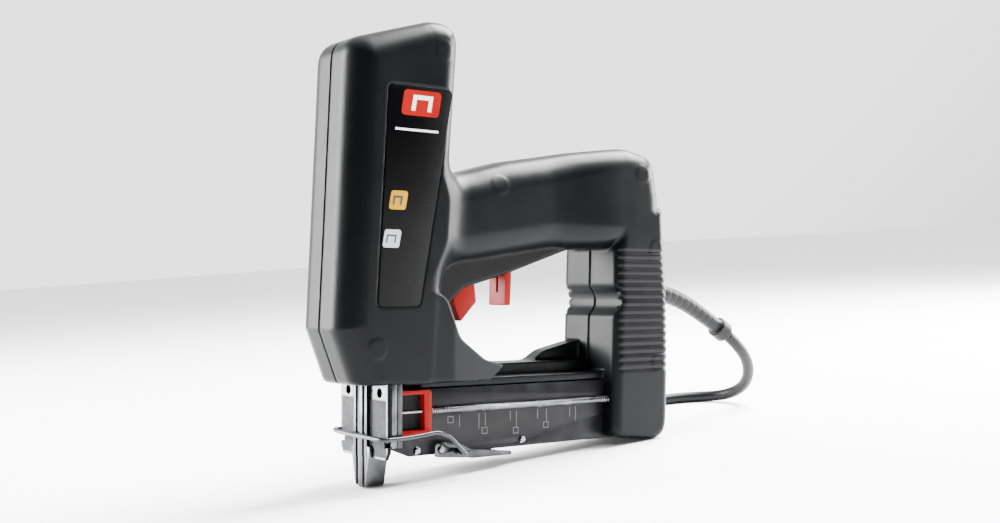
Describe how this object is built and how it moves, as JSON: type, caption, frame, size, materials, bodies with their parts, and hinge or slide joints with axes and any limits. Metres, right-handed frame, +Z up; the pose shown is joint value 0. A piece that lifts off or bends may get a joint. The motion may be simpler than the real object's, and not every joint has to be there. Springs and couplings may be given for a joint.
{
  "type": "electric staple gun",
  "caption": "Electric staple gun with an upright solenoid tower, a closed hand grip, a side magazine with a sliding pusher, a nose latch and a mains lead.",
  "frame": {"origin": "under the middle of the tool on the surface it stands on, without its mains lead", "axes": "+X from the nose towards the rear of the grip, +Y to the right of a user, +Z up, standing on nose tip and foot"},
  "size_m": [0.3205, 0.1836, 0.2259],
  "materials": {
    "housing_plastic": "satin moulded, black",
    "label": "satin label, black",
    "dark_steel": "blackened steel",
    "bobbin": "natural nylon",
    "winding": "enamelled copper wire",
    "rubber": "matt",
    "bright_steel": "ground and nickel plated",
    "board": "solder resist",
    "red_plastic": "satin moulded, orange red",
    "black_steel": "black oxide, satin",
    "cord_rubber": "satin black cable sheath",
    "tie": "moulded strap"
  },
  "bodies": {
    "housing": {"left_housing": "housing_plastic", "right_housing": "housing_plastic", "side_label": "label", "housing_screw_1": "dark_steel", "housing_screw_2": "dark_steel", "housing_screw_3": "dark_steel", "housing_screw_4": "dark_steel", "housing_screw_5": "dark_steel", "housing_screw_6": "dark_steel", "solenoid_yoke": "dark_steel", "nose_block": "dark_steel", "staple_rail": "dark_steel", "clamp_screw_1": "dark_steel", "clamp_screw_2": "dark_steel", "coil_bobbin": "bobbin", "coil_winding": "winding", "driver_bumper": "rubber", "trigger_switch": "rubber", "return_spring": "bright_steel", "trigger_pin": "bright_steel", "trigger_spring": "bright_steel", "lock_spring": "bright_steel", "nose_front_plate": "bright_steel", "nose_spacer_left": "bright_steel", "nose_spacer_right": "bright_steel", "driver_channel": "bright_steel", "magazine_pin_1": "bright_steel", "magazine_pin_2": "bright_steel", "guide_rod": "bright_steel", "pusher_spring": "bright_steel", "latch_pivot": "bright_steel", "cable_clamp": "bright_steel", "plug_pin_1": "bright_steel", "plug_pin_2": "bright_steel", "circuit_board": "board", "magazine_left_plate": "black_steel", "magazine_right_plate": "black_steel", "magazine_end_block": "black_steel", "strain_relief": "cord_rubber", "cord_lead": "cord_rubber", "cord_coil": "cord_rubber", "cord_tail": "cord_rubber", "plug_body": "cord_rubber", "coil_tie": "tie"},
    "driver": {"plunger": "bright_steel", "driver_pin": "bright_steel", "driver_blade": "bright_steel"},
    "trigger": {"trigger": "red_plastic"},
    "lock_button": {"trigger_lock": "red_plastic"},
    "pusher": {"pusher_grip": "red_plastic", "pusher_carriage": "dark_steel"},
    "latch_lever": {"latch_lever": "bright_steel"},
    "latch_wire": {"latch_wire": "bright_steel"}
  },
  "joints": [
    {"name": "driver_stroke", "type": "slide", "parent": "housing", "child": "driver", "axis": [-0.0785, 0, -0.9969], "range_m": [0, 0.046], "stiffness_N_per_m": 250, "springref_m": -0.02, "deforming": ["return_spring"]},
    {"name": "trigger_pull", "type": "hinge", "parent": "housing", "child": "trigger", "pos_m": [0.01697, 0, 0.10991], "axis": [0, -1, 0], "range_deg": [0, 8], "stiffness_Nm_per_rad": 0.3, "springref_deg": -11.46, "deforming": ["trigger_spring"]},
    {"name": "lock_press", "type": "slide", "parent": "housing", "child": "lock_button", "axis": [0.0785, 0, 0.9969], "range_m": [0, 0.004], "stiffness_N_per_m": 500, "springref_m": -0.002, "deforming": ["lock_spring"]},
    {"name": "pusher_slide", "type": "slide", "parent": "housing", "child": "pusher", "axis": [0.9969, 0, -0.0785], "range_m": [0, 0.085], "stiffness_N_per_m": 60, "springref_m": -0.03, "deforming": ["pusher_spring"]},
    {"name": "latch_swing", "type": "hinge", "parent": "housing", "child": "latch_lever", "pos_m": [-0.05069, 0, 0.01493], "axis": [0, 1, 0], "range_deg": [0, 100]},
    {"name": "bail_swing", "type": "hinge", "parent": "latch_lever", "child": "latch_wire", "pos_m": [-0.03967, 0, 0.01225], "axis": [0, 1, 0], "range_deg": [-100, 0]}
  ],
  "couplings": [
    {"joint": "bail_swing", "follows": "latch_swing", "ratio": -1}
  ]
}
